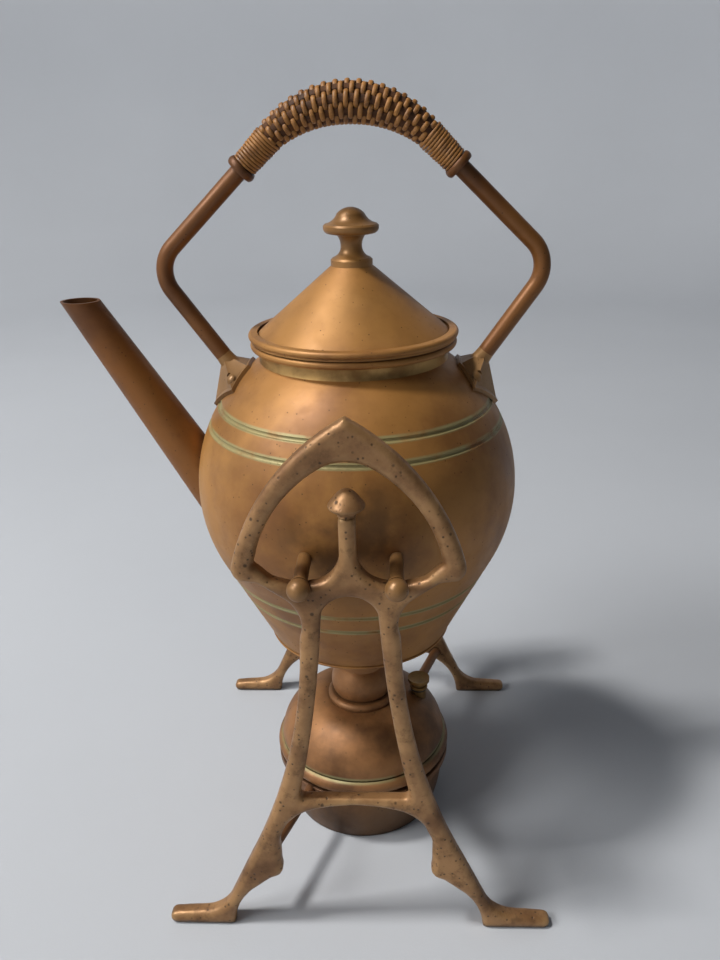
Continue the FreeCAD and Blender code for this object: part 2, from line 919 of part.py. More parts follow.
def winding_tube():
    """One strand of cane wound round the sleeve in quarter-turn biarcs, with straight ends."""
    thick = S["cane_diameter"].number
    radius = S["sleeve_radius"].number + S["cane_gap"].number + thick / 2
    pitch = S["wrap_pitch"].number
    turns = int(S["wrap_turns"].number)
    margin = (S["wrap_length"].number - turns * pitch) / 2

    def station(quarter):
        angle = quarter * math.pi / 2
        across = radius * math.cos(angle)
        along = radius * math.sin(angle)
        spot = FreeCAD.Vector(across, along, margin + pitch * quarter / 4)
        way = FreeCAD.Vector(-along, across, pitch / (2 * math.pi))
        return spot, way.normalize()

    quarters = [station(k) for k in range(4 * turns + 1)]
    begin, begin_way = quarters[0]
    end, end_way = quarters[-1]
    lead = begin - begin_way * thick
    edges = [Part.LineSegment(lead, begin).toShape()]
    for (spot, way), (next_spot, next_way) in zip(quarters, quarters[1:]):
        edges += [Part.Arc(*points).toShape() for points in biarc(spot, way, next_spot, next_way)]
    edges.append(Part.LineSegment(end, end + end_way * thick).toShape())
    path = Part.Wire(edges)
    section = Part.Wire([Part.Circle(lead, begin_way, thick / 2).toShape()])
    tube = path.makePipeShell([section], True, False)
    report_winding(path, tube, thick, turns)
    return tube


def report_winding(path, tube, thick, turns):
    """Prints the winding's least gap to itself and its volume against section times length."""
    steps = 48
    apart = steps // 2
    points = path.discretize(steps * turns)
    gap = min(
        (point - later).Length
        for k, point in enumerate(points)
        for later in points[k + apart:]
    )
    ideal = math.pi * thick * thick / 4 * path.Length
    print(f"winding: least gap {gap - thick:.3f} mm, volume {tube.Volume:.2f} of {ideal:.2f} mm3")


def cane_wrap(label, side, tube):
    wrap = doc.addObject("Part::Feature", label)
    wrap.Shape = tube.copy()
    return on_slope(wrap, side, 0)


def woven_grip(bow):
    """The swelling middle of the grip, with the sleeves that run on under the windings."""
    radii = [S["grip_middle_radius"], S["grip_swell_radius"], S["grip_quarter_radius"], S["grip_end_radius"]]
    steps = len(radii) - 1
    sections = []
    for step in range(-steps, steps + 1):
        angle = S["handle_slope"] * abs(step) / steps
        side = math.copysign(1, step)
        circle = primitive("Circle", f"grip_section_{step + steps + 1}", Radius=radii[abs(step)])
        x = side * (S["handle_crown"] * sine(angle))
        z = crown_centre + S["handle_crown"] * cosine(angle)
        sections.append(on_kettle(circle, x, 0, z, Y_AXIS, QUARTER_TURN + side * angle))
    loft = doc.addObject("Part::Loft", "grip_swell")
    loft.Sections = sections
    loft.Solid = True
    sleeves = []
    for name, side in SIDES.items():
        sleeve = primitive("Cylinder", f"{name}_sleeve", Radius=S["sleeve_radius"], Height=S["wrap_length"])
        sleeves.append(on_slope(sleeve, side, 0))
    return cut("woven_grip", joined("grip_outside", [loft, *sleeves]), [bow])


def build_kettle():
    envelope = kettle_envelope()
    skin = shoulder_skin()
    pegs = [
        keep(f"{face}_{side}_peg", peg(f"{face}_{side}_peg", SIDES[side], FACES[face]))
        for face in FACES for side in SIDES
    ]
    rivets = {
        side: [handle_rivet(f"{side}_{face}_rivet", SIDES[side], FACES[face]) for face in FACES]
        for side in SIDES
    }
    all_rivets = doc.addObject("Part::Compound", "handle_rivets")
    all_rivets.Links = [rivet for pair in rivets.values() for rivet in pair]
    keep("handle_rivets", all_rivets)
    tools = [*kettle_grooves(), spout_bore_tool(), *pegs, *all_rivets.Links]
    keep("kettle_body", cut("kettle_body", kettle_shell(), tools))
    keep("kettle_base", kettle_base())
    keep("neck_collar", neck_collar())
    keep("mouth_rim", mouth_rim())
    keep("spout", spout(envelope))
    bow = keep("handle_bow", handle_bow())
    keep("woven_grip", woven_grip(bow))
    tube = winding_tube()
    for name, side in SIDES.items():
        label = f"{name}_handle_foot"
        keep(label, handle_foot(label, side, skin, envelope, rivets[name]))
        keep(f"{name}_ferrule", ferrule(f"{name}_ferrule", side))
        keep(f"{name}_cane_wrap", cane_wrap(f"{name}_cane_wrap", side, tube))


# Lid

def on_lid(piece, z=0):
    return put(piece, 0, 0, lid_level + z)


def lid_plug():
    outer = mouth_radius - S["plug_clearance"]
    inner = outer - S["plug_wall"]
    outline = [
        (inner, -S["plug_depth"]),
        (outer, -S["plug_depth"]),
        (outer, 0),
        (outer + S["flange_width"], 0),
        (outer + S["flange_width"], S["flange_thickness"]),
        (inner, S["flange_thickness"]),
    ]
    return on_lid(turned("lid_plug", outline))


def lid_rim():
    edge = S["lid_radius"] + S["lid_bead_width"]
    outline = [
        (S["lid_radius"], 0),
        (edge, 0, Bow(S["lid_bead_crown"])),
        (edge, S["lid_bead_height"]),
        (S["lid_radius"], S["lid_bead_height"]),
    ]
    return on_lid(turned("lid_rim", outline), S["flange_thickness"])


lid_top = S["flange_thickness"] + S["lid_height"]


def lid_cone():
    across = S["lid_radius"] - S["lid_top_radius"]
    rise = S["lid_height"] - S["lid_edge"]
    drop = S["lid_wall"] * root(across * across + rise * rise) / across
    inner = S["lid_radius"] - S["lid_wall"]
    top_drop = drop - S["lid_wall"]
    outline = [
        (inner, 0),
        (S["lid_radius"], 0),
        (S["lid_radius"], S["lid_edge"]),
        (S["lid_top_radius"], S["lid_height"]),
        (S["stud_radius"], S["lid_height"]),
        (S["stud_radius"], S["lid_height"] - S["lid_wall"]),
        (S["lid_top_radius"] - top_drop * across / rise, S["lid_height"] - S["lid_wall"]),
        (inner, S["lid_edge"] + S["lid_wall"] * rise / across - drop),
    ]
    return on_lid(turned("lid_cone", outline), S["flange_thickness"])


def lid_knob():
    """A turned knob: stepped foot, hollow neck, rolled rim and a small dome."""
    foot = S["lid_top_radius"]
    foot_top = S["knob_foot_thickness"] + S["knob_foot_slope"]
    rim_top = S["knob_rim_height"] + S["knob_rim_thickness"]
    outline = [
        (0, -S["stud_length"]),
        (S["stud_radius"], -S["stud_length"]),
        (S["stud_radius"], 0),
        (foot, 0),
        (foot, S["knob_foot_thickness"]),
        (foot - S["knob_foot_slope"], foot_top, Bow(-S["knob_foot_curve"])),
        (S["knob_neck_radius"], S["knob_neck_height"], Bow(-S["knob_neck_curve"])),
        (S["knob_bead_radius"], S["knob_bead_height"]),
        (S["knob_lip_radius"], S["knob_lip_height"], Bow(S["knob_roll"])),
        (S["knob_radius"], S["knob_rim_height"]),
        (S["knob_radius"], rim_top - S["knob_rim_step"]),
        (S["knob_radius"] - S["knob_rim_step"], rim_top, Bow(-S["knob_hollow"])),
        (S["knob_top_radius"], S["knob_shoulder"], arc_over(S["knob_top_radius"], S["knob_crown"])),
        (0, S["knob_shoulder"] + S["knob_crown"]),
    ]
    return on_lid(turned("lid_knob", outline), lid_top)


def knob_nut():
    nut = primitive("Prism", "nut_blank", Circumradius=S["nut_radius"], Height=S["nut_thickness"])
    nut.Polygon = 6
    bore = primitive("Cylinder", "nut_bore", Radius=S["stud_radius"], Height=S["nut_thickness"])
    level = lid_top - S["lid_wall"] - S["nut_thickness"]
    return cut("knob_nut", on_lid(nut, level), [on_lid(bore, level)])


def build_lid():
    keep("lid_plug", lid_plug())
    keep("lid_rim", lid_rim())
    keep("lid_cone", lid_cone())
    keep("lid_knob", lid_knob())
    keep("knob_nut", knob_nut())


# Burner

band_top = S["bowl_height"] + S["ring_drop"] + S["band_height"]
band_foot = S["bowl_height"] + S["ring_drop"]
dome_foot = band_top + S["seam_height"]
dome_top = band_top + S["dome_height"]
neck_foot = dome_top + S["neck_flange_height"]
neck_top = neck_foot + S["burner_neck_height"]
seal_level = S["filler_height"]
cap_level = seal_level + S["seal_thickness"]


def reservoir_bowl():
    wall = S["bowl_wall"]
    edge = S["bowl_edge"]
    outline = [
        (0, 0),
        (S["bowl_base_radius"], 0, Bow(edge / 4)),
        (S["bowl_base_radius"] + edge, edge, Bow(S["bowl_swell"])),
        (S["bowl_radius"], S["bowl_height"]),
        (S["band_radius"], band_foot, Bow(S["band_crown"])),
        (S["band_radius"], band_top),
        (S["bowl_radius"] - wall, band_top),
        (S["bowl_radius"] - wall, S["bowl_height"], Bow(-S["bowl_swell"])),
        (S["bowl_base_radius"] + edge - wall, wall),
        (0, wall),
    ]
    return put(turned("reservoir_bowl", outline))


def reservoir_dome():
    wall = S["dome_wall"]
    seam = S["band_radius"] - S["seam_depth"]
    outline = [
        (seam - wall, band_top),
        (seam, band_top),
        (seam, dome_foot),
        (S["band_radius"], dome_foot, Bow(S["dome_crown"])),
        (S["neck_flange_radius"], dome_top),
        (S["dome_opening"], dome_top),
        (S["dome_opening"], dome_top - wall),
        (S["neck_flange_radius"] - wall / 2, dome_top - wall, Bow(-S["dome_crown"])),
        (seam - wall, dome_foot),
    ]
    shell = put(turned("dome_shell", outline))
    hole = primitive("Cylinder", "filler_hole", Radius=S["filler_radius"], Height=2 * S["filler_drop"])
    return cut("reservoir_dome", shell, [at_filler(hole, S["filler_height"] - S["filler_drop"])])


def neck_flange():
    slope = S["neck_flange_slope"]
    outline = [
        (S["dome_opening"], 0),
        (S["neck_flange_radius"], 0),
        (S["neck_flange_radius"], S["neck_flange_height"] - slope, Bow(slope / 5)),
        (S["neck_flange_radius"] - slope, S["neck_flange_height"]),
        (S["dome_opening"], S["neck_flange_height"]),
    ]
    return put(turned("neck_flange", outline), z=dome_top)


def burner_neck():
    wall = S["burner_wall"]
    outline = [
        (S["burner_neck_foot"] - wall, 0),
        (S["burner_neck_foot"], 0, Bow(S["burner_neck_swell"])),
        (S["burner_neck_radius"], S["burner_bulb_height"]),
        (S["burner_neck_radius"], S["burner_neck_height"]),
        (S["burner_neck_radius"] - wall, S["burner_neck_height"]),
        (S["burner_neck_radius"] - wall, S["burner_bulb_height"], Bow(-S["burner_neck_swell"])),
    ]
    return put(turned("burner_neck", outline), z=neck_foot)


tube_bore = S["tube_radius"] - S["tube_wall"]
tube_top = neck_top + S["tube_rise"]


def wick_tube():
    flange_top = neck_top + S["tube_flange_thickness"]
    outline = [
        (tube_bore, S["tube_foot"]),
        (S["tube_radius"], S["tube_foot"]),
        (S["tube_radius"], neck_top),
        (S["burner_neck_radius"], neck_top),
        (S["burner_neck_radius"], flange_top),
        (S["tube_radius"], flange_top),
        (S["tube_radius"], tube_top),
        (tube_bore, tube_top),
    ]
    return put(turned("wick_tube", outline))


def wick():
    radius = tube_bore - S["wick_clearance"]
    foot = S["bowl_wall"] + S["wick_foot"]
    top = tube_top + S["wick_rise"]
    outline = [
        (0, foot),
        (radius, foot),
        (radius, top - S["wick_rise"] / 2, Bow(S["wick_rise"] / 5)),
        (radius - S["wick_rise"], top),
        (0, top),
    ]
    return put(turned("wick", outline))


def at_filler(piece, z):
    return put(piece, S["filler_across"], S["filler_back"], z)


def filler_boss():
    outline = [
        (S["filler_bore"], -S["filler_drop"]),
        (S["filler_radius"], -S["filler_drop"]),
        (S["filler_radius"], 0),
        (S["filler_bore"], 0),
    ]
    return at_filler(turned("filler_boss", outline), S["filler_height"])


cap_plug_radius = S["filler_bore"] - S["stopper_clearance"]


def cap_seal():
    outline = [
        (cap_plug_radius, 0),
        (S["filler_radius"], 0),
        (S["filler_radius"], S["seal_thickness"]),
        (cap_plug_radius, S["seal_thickness"]),
    ]
    return at_filler(turned("cap_seal", outline), seal_level)


def filler_cap():
    outline = [
        (0, -S["cap_plug_length"]),
        (cap_plug_radius, -S["cap_plug_length"]),
        (cap_plug_radius, 0),
        (S["cap_waist_radius"], 0, Bow(S["cap_bead_radius"] - S["cap_waist_radius"])),
        (S["cap_waist_radius"], S["cap_bead_height"]),
        (S["cap_waist_radius"], S["cap_bead_height"] + S["cap_dish"]),
        (S["cap_rim_radius"], S["cap_rim_height"]),
        (S["cap_rim_radius"], S["cap_height"], -arc_over(S["cap_rim_radius"], S["cap_dish"])),
        (0, S["cap_height"] - S["cap_dish"]),
    ]
    return at_filler(turned("filler_cap", outline), cap_level)


def build_burner():
    keep("filler_boss", filler_boss())
    keep("reservoir_bowl", reservoir_bowl())
    keep("reservoir_dome", reservoir_dome())
    keep("neck_flange", neck_flange())
    keep("burner_neck", burner_neck())
    keep("wick_tube", wick_tube())
    keep("wick", wick())
    keep("cap_seal", cap_seal())
    keep("filler_cap", filler_cap())


# Stand

saddle_level = peg_level - S["peg_radius"] - S["seat_clearance"]
stem_top = peg_level + S["stem_height"]
arch_top = peg_level + S["arch_rise"]
arch_crown = arch_top - S["arch_crown_depth"]
bridge_level = peg_level - S["bridge_drop"]


def frame_outside():
    """The right half of a frame's outline, from the stretcher's underside round to the arch's tip."""
    under = S["stretcher_height"] - S["stretcher_thickness"]
    corner = S["arch_half_width"] - S["arch_corner_width"]
    return [
        (S["stretcher_root"], under - S["stretcher_arch"], Bow(-S["heel_throat_curve"])),
        (S["heel_half_width"], S["heel_height"] + S["heel_throat"]),
        (S["heel_half_width"], S["heel_height"], Bow(S["heel_round"])),
        (S["heel_half_width"] + S["heel_sole_width"], S["heel_sole_height"]),
        (S["ankle_half_width"], S["ankle_height"], Bow(-S["ankle_curve"])),
        (S["foot_inner"], 0),
        (S["foot_reach"] - S["toe_round"], 0, Bow(S["toe_round"])),
        (S["foot_reach"] - S["toe_round"], S["foot_height"]),
        (S["instep_half_width"], S["instep_height"], Bow(-S["instep_curve"])),
        (S["shin_half_width"], S["shin_height"]),
        (S["knee_half_width"], S["knee_height"], Bow(-S["leg_bow"])),
        (S["waist_half_width"], peg_level - S["waist_drop"], Bow(-S["waist_curve"])),
        (S["armpit_half_width"], peg_level - S["armpit_drop"]),
        (S["shoulder_half_width"], peg_level - S["saddle_slope"] / 4),
        (corner, peg_level, Bow(S["arch_corner_width"] / 3)),
        (S["arch_half_width"], peg_level + S["arch_corner_rise"], Bow(S["arch_bulge"])),
    ]


def arch_window():
    """The right half of the opening under the arch, from the stem's top down and round to the crown."""
    seat = S["peg_radius"] + S["seat_clearance"]
    half_seat = seat * math.sqrt(0.5)
    seat_edge = peg_level - half_seat
    inner = S["arch_half_width"] - S["arch_band"]
    ledge = S["shoulder_half_width"] - S["saddle_rim"]
    return [
        (S["stem_half_width"], stem_top),
        (S["stem_half_width"], peg_level + S["stem_flare_height"], Bow(S["stem_flare"])),
        (S["peg_spread"] - S["saddle_rim"], seat_edge + S["saddle_slope"] / 4),
        (S["peg_spread"] - half_seat, seat_edge, seat),
        (S["peg_spread"] + half_seat, seat_edge),
        (S["peg_spread"] + S["saddle_rim"], seat_edge + S["saddle_slope"] / 4),
        (ledge, seat_edge + S["saddle_slope"]),
        (S["shoulder_half_width"], peg_level + S["arch_corner_rise"], Bow(S["arch_corner_width"] / 3)),
        (inner, peg_level + S["arch_corner_rise"] + S["arch_corner_width"], Bow(S["arch_inner_bulge"])),
        (S["arch_crown_half"], arch_crown - S["arch_crown_rise"]),
    ]


def leg_window():
    """The right half of the opening between the legs, from the stretcher up to the bridge."""
    corner = S["window_corner"]
    return [
        (S["stretcher_half_width"] - corner, S["stretcher_height"], Bow(corner / 5)),
        (S["stretcher_half_width"], S["stretcher_height"] + corner, Bow(-S["leg_inner_bow"])),
        (S["bridge_half_width"], bridge_level),
    ]


def frame_half():
    """The right half of a frame, closed along the middle."""
    under = S["stretcher_height"] - S["stretcher_thickness"]
    bridge_top = bridge_level + S["bridge_rise"]
    return [
        (0, under, -arc_over(S["stretcher_root"], S["stretcher_arch"])),
        *frame_outside(),
        (0, arch_top),
        (0, arch_crown, -arc_over(S["arch_crown_half"], S["arch_crown_rise"])),
        *backwards(arch_window()),
        (0, stem_top),
        (0, bridge_top, -arc_over(S["bridge_half_width"], S["bridge_rise"])),
        *backwards(leg_window()),
        (0, S["stretcher_height"]),
    ]


def frame_blank(name, face):
    body = padded(f"{name}_blank", "XZ_Plane", frame_half(), S["frame_depth"])
    mirror = body.newObject("PartDesign::Mirrored", f"{name}_mirror")
    mirror.Originals = [body.Tip]
    plane = next(feature for feature in body.Origin.OriginFeatures if feature.Role == "YZ_Plane")
    mirror.MirrorPlane = (plane, [""])
    body.Tip = mirror
    return put(body, 0, face * S["frame_offset"], 0)


def bud_finial(label, face):
    """A turned bud, with the spigot that holds it in the stem."""
    outline = [
        (0, -S["bud_spigot_length"]),
        (S["bud_spigot_radius"], -S["bud_spigot_length"]),
        (S["bud_spigot_radius"], 0),
        (S["bud_foot"], 0),
        (S["bud_foot"], S["bud_foot_rise"], Bow(S["bud_crown"] / 2)),
        (S["bud_radius"], S["bud_widest"]),
        (S["bud_radius"] - S["bud_crown"] / 2, S["bud_widest"] + S["bud_crown"]),
        (S["bud_foot"], S["bud_height"] - S["bud_crown"]),
        (0, S["bud_height"]),
    ]
    return put(turned(label, outline), 0, face * S["frame_offset"], stem_top)


def cradle_ring():
    inner = S["ring_radius"] - S["ring_wall"]
    soft = S["ring_wall"] / 5
    outline = [
        (inner, 0),
        (S["ring_radius"] - soft, 0, Bow(soft / 3)),
        (S["ring_radius"], soft),
        (S["ring_radius"], S["ring_width"] - soft, Bow(soft / 3)),
        (S["ring_radius"] - soft, S["ring_width"]),
        (inner, S["ring_width"]),
    ]
    return put(turned("cradle_ring", outline), z=S["bowl_height"] - S["ring_width"])


def cradle_rod(name, side, face):
    """A straight rod from inside a frame's heel to past the ring's outer face."""
    body = new_body(f"{name}_rod")
    sketch = sketch_on(body, "XZ_Plane")
    sketch.addGeometry(Part.Circle(FreeCAD.Vector(0, 0, 0), UP, S["rod_radius"].number), False)
    sketch.addConstraint(Sketcher.Constraint("Coincident", 0, 3, -1, 1))
    index = sketch.addConstraint(Sketcher.Constraint("Radius", 0, S["rod_radius"].number))
    sketch.setExpression(f"Constraints[{index}]", S["rod_radius"].formula)
    pad = body.newObject("PartDesign::Pad", f"{name}_rod_pad")
    pad.Profile = sketch
    pad.setExpression("Length", (S["rod_length"] + S["rod_tenon"]).formula)
    pad.Reversed = face < 0
    inner_face = S["frame_offset"] - S["frame_depth"] / 2
    level = S["bowl_height"] - S["ring_width"] / 2
    x = S["rod_heel"] + S["rod_tenon"] * sine(S["rod_angle"])
    y = inner_face + S["rod_tenon"] * cosine(S["rod_angle"])
    return put(body, side * x, face * y, level, -side * face * UP, S["rod_angle"])


def build_stand():
    keep("cradle_ring", cradle_ring())
    inside = primitive("Cylinder", "ring_inside", Radius=S["ring_radius"], Height=3 * S["ring_width"])
    put(inside, z=S["bowl_height"] - 2 * S["ring_width"])
    for face_name, face in FACES.items():
        finial = keep(f"{face_name}_bud_finial", bud_finial(f"{face_name}_bud_finial", face))
        tools = [finial]
        for side_name, side in SIDES.items():
            label = f"{face_name}_{side_name}_cradle_arm"
            rod = cradle_rod(label, side, face)
            tools.append(rod)
            keep(label, cut(label, rod, [inside]))
        blank = frame_blank(f"{face_name}_frame", face)
        keep(f"{face_name}_frame", cut(f"{face_name}_frame", blank, tools))


def check_document():
    for piece in doc.Objects:
        if "Invalid" in piece.State or "Error" in piece.State:
            raise RuntimeError(f"{piece.Label}: {piece.State}")
    for label, piece in nodes.items():
        if piece.Shape.isNull() or not piece.Shape.isValid():
            raise RuntimeError(f"{label}: no valid shape")


def write_parts():
    os.makedirs("parts", exist_ok=True)
    for label, piece in nodes.items():
        piece.Shape.exportStep(f"parts/{label}.step")
        print(f"{label}: {piece.Shape.Volume:.1f} mm3, {len(piece.Shape.Solids)} solid")


build_kettle()
build_lid()
build_burner()
build_stand()
doc.recompute()
check_document()
write_parts()
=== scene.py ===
import json
import math

import bpy
import numpy as np
from mathutils import Matrix, Vector, kdtree


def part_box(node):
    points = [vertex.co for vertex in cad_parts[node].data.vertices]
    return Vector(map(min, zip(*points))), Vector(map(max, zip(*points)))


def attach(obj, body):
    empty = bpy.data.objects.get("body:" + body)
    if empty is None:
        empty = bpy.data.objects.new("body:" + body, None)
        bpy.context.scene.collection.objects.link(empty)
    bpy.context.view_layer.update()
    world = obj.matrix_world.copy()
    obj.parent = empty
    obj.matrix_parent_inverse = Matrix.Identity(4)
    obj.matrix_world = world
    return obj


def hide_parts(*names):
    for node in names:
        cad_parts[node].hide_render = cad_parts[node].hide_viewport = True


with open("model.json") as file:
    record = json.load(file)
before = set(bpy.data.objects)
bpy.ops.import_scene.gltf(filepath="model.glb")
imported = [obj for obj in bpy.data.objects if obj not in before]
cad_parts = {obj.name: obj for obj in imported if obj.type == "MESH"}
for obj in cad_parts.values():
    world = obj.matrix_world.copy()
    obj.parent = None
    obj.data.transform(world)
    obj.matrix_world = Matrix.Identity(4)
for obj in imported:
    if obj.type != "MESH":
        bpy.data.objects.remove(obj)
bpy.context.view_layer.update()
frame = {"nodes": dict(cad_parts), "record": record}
nodes = frame["nodes"]

# A copper spirit kettle on its cast stand. Lengths are millimetres, as in the CAD, apart from the lights,
# the camera's place and the run of the floor's shade, which are in metres.
MM = 0.001
FULL_TURN = 2 * math.pi


def box(name):
    """The lowest and highest corners of a CAD node, in millimetres."""
    low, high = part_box(name)
    return low / MM, high / MM


def tint(code):
    """A linear colour from a six-digit display colour."""
    channels = [int(code[k:k + 2], 16) / 255 for k in (0, 2, 4)]
    linear = [c / 12.92 if c <= 0.04045 else ((c + 0.055) / 1.055) ** 2.4 for c in channels]
    return (*linear, 1.0)


# Places of stains and shade

UPPER_GROOVE_DROP = 17.8
UPPER_GROOVE_SPACING = 8.1
LOWER_GROOVE_HEIGHT = 27.0
LOWER_GROOVE_SPACING = 9.6
upper_groove = box("neck_collar")[0].z - UPPER_GROOVE_DROP
lower_groove = box("kettle_base")[0].z + LOWER_GROOVE_HEIGHT
GROOVES = (
    upper_groove, upper_groove - UPPER_GROOVE_SPACING,
    lower_groove, lower_groove + LOWER_GROOVE_SPACING,
)
GROOVE_GREEN = (1.0, 1.75)  # half the width of the green in a groove, where it is full and where it ends

# Painted shade on the belly, at the front and the back, where each frame stands before it
FRAME_SHADE_DEPTH = 4.3  # middle of the painted shade, in from the belly
FRAME_SHADE_RISE = 6.0  # and up from the pegs
frame_shade_out = box("kettle_body")[1].y - FRAME_SHADE_DEPTH
frame_shade_level = sum(corner.z for corner in box("front_left_peg")) / 2 + FRAME_SHADE_RISE
FRAME_SHADE_SPOTS = [(0, side * frame_shade_out, frame_shade_level) for side in (-1, 1)]
FRAME_SHADE_REACH = (12, 38)

SEAM_RISE = 0.7
BURNER_SEAMS = (box("reservoir_dome")[0].z + SEAM_RISE,)
SEAM_GREEN = (0.7, 1.8)
BURNER_SHADE = (14, 36)  # heights between which the burner's bowl turns from painted shade to bright
WICK_CHAR = (box("wick_tube")[1].z, box("wick")[1].z)

SHADE_SIDE = (0.87, -0.5, 0.0)
SHADE_RUN = (0.45, 1.7)  # metres out towards that side, where the floor's shade starts and where it is full


# Colours

VERDIGRIS = tint("96966A")
# Dark brown for real grime in spots and pits, and for painted shade in corners, on the burner's lower bowl
# and behind the frames
GRIME_AND_SHADE = tint("2A1D12")
KETTLE_TINTS = ("80542A", "A8763C", "B6894C")
CAST_DARK = tint("765232")
CAST_BRIGHT = tint("AC8256")
CAST_SKIN = tint("5C4028")
CAST_WORN = tint("BE9A68")
BURNER_DARK = tint("5E3F25")
BURNER_BRIGHT = tint("A07044")
BURNER_BROWN = tint("7A5C3A")
CANE_DIRT_AND_SHADE = tint("341C0A")
COTTON_GREY = tint("B3A78C")
COTTON_PALE = tint("E6DEC9")
COTTON_CHAR = tint("1C1712")
RUBBER_BLACK = tint("1B1917")
RUBBER_DUST = tint("3B3630")
FLOOR_GREY = tint("B4B8BE")
FLOOR_PALE = tint("BEC2C8")
FLOOR_SHADE = tint("5A5D62")


# Finishes

class Finish:
    """A procedural material, built node by node in the object's own coordinates."""

    SPECK_CORE = 0.4  # share of a speck's reach where it is full
    SPECK_FULL = 0.7  # share of the specks that are full

    def __init__(self, name):
        self.material = bpy.data.materials.new(name)
        self.material.use_nodes = True
        self.tree = self.material.node_tree
        self.surface = self.tree.nodes["Principled BSDF"]
        self.place = self.add("ShaderNodeTexCoord").outputs["Object"]

    def add(self, kind, **settings):
        node = self.tree.nodes.new(kind)
        for key, value in settings.items():
            setattr(node, key, value)
        return node

    def feed(self, socket, value):
        """Links a socket to a value, or sets it to a plain one."""
        if isinstance(value, bpy.types.NodeSocket):
            self.tree.links.new(value, socket)
        else:
            socket.default_value = value

    def stretched(self, scale):
        node = self.add("ShaderNodeVectorMath", operation="MULTIPLY")
        self.feed(node.inputs[0], self.place)
        node.inputs[1].default_value = scale
        return node.outputs["Vector"]

    def noise(self, scale, detail=4.0, roughness=0.55, stretch=None):
        node = self.add("ShaderNodeTexNoise")
        self.feed(node.inputs["Vector"], self.stretched(stretch) if stretch else self.place)
        node.inputs["Scale"].default_value = scale
        node.inputs["Detail"].default_value = detail
        node.inputs["Roughness"].default_value = roughness
        return node.outputs["Fac"]

    def specks(self, scale, reach, share):
        """Small round marks, in a share of the cells of a pattern."""
        node = self.add("ShaderNodeTexVoronoi")
        self.feed(node.inputs["Vector"], self.place)
        node.inputs["Scale"].default_value = scale
        near = self.step(node.outputs["Distance"], reach, reach * self.SPECK_CORE)
        pick = self.add("ShaderNodeSeparateColor")
        self.feed(pick.inputs[0], node.outputs["Color"])
        chosen = self.step(pick.outputs[0], 1 - share, 1 - share * self.SPECK_FULL)
        return self.times(near, chosen)

    def step(self, value, low, high, out_low=0.0, out_high=1.0):
        """Runs smoothly from out_low to out_high as the value goes from low to high."""
        node = self.add("ShaderNodeMapRange", interpolation_type="SMOOTHSTEP")
        self.feed(node.inputs["Value"], value)
        limits = {"From Min": low, "From Max": high, "To Min": out_low, "To Max": out_high}
        for socket, number in limits.items():
            node.inputs[socket].default_value = number
        return node.outputs["Result"]

    def math(self, operation, first, second=0.0):
        node = self.add("ShaderNodeMath", operation=operation)
        self.feed(node.inputs[0], first)
        self.feed(node.inputs[1], second)
        return node.outputs["Value"]

    def times(self, first, second):
        return self.math("MULTIPLY", first, second)

    def blend(self, share, first, second):
        node = self.add("ShaderNodeMix", data_type="RGBA")
        self.feed(node.inputs["Factor"], share)
        self.feed(node.inputs["A"], first)
        self.feed(node.inputs["B"], second)
        return node.outputs["Result"]

    def stain(self, colour, mask, strength, over):
        """Lays one colour over another where the mask is, at a strength."""
        return self.blend(self.times(mask, strength), colour, over)

    def corner_grime_and_shade(self, reach, low=0.35, high=0.8):
        """One in tight corners, nothing on open faces: a mask for dark grime and painted shade, from
        ambient occlusion.
        """
        node = self.add("ShaderNodeAmbientOcclusion", samples=8)
        node.inputs["Distance"].default_value = reach * MM
        return self.step(node.outputs["AO"], low, high, 1.0, 0.0)

    def edge(self, low, high):
        """One on sharp outer edges of a fine mesh."""
        return self.step(self.add("ShaderNodeNewGeometry").outputs["Pointiness"], low, high)

    def height(self):
        split = self.add("ShaderNodeSeparateXYZ")
        self.feed(split.inputs[0], self.place)
        return split.outputs["Z"]

    def climb(self, low, high, out_low=0.0, out_high=1.0):
        """Runs smoothly from out_low to out_high between two heights."""
        return self.step(self.height(), low * MM, high * MM, out_low, out_high)

    def near(self, spot, inner, outer):
        """One round a point, fading out with the distance from it."""
        node = self.add("ShaderNodeVectorMath", operation="DISTANCE")
        self.feed(node.inputs[0], self.place)
        node.inputs[1].default_value = Vector(spot) * MM
        return self.step(node.outputs["Value"], inner * MM, outer * MM, 1.0, 0.0)

    def bands(self, levels, inner, outer):
        """One at each of the levels, fading out above and below."""
        total = 0.0
        height = self.height()
        for level in levels:
            away = self.math("ABSOLUTE", self.math("SUBTRACT", height, level * MM))
            total = self.math("ADD", self.step(away, inner * MM, outer * MM, 1.0, 0.0), total)
        return total

    def finish(self, colour, roughness, metallic, relief, depth):
        """Feeds the shader; the relief stands out by a depth."""
        self.feed(self.surface.inputs["Base Color"], colour)
        self.feed(self.surface.inputs["Roughness"], roughness)
        self.feed(self.surface.inputs["Metallic"], metallic)
        node = self.add("ShaderNodeBump")
        node.inputs["Strength"].default_value = 1.0
        node.inputs["Distance"].default_value = depth * MM
        self.feed(node.inputs["Height"], relief)
        self.feed(self.surface.inputs["Normal"], node.outputs["Normal"])
        return self.material


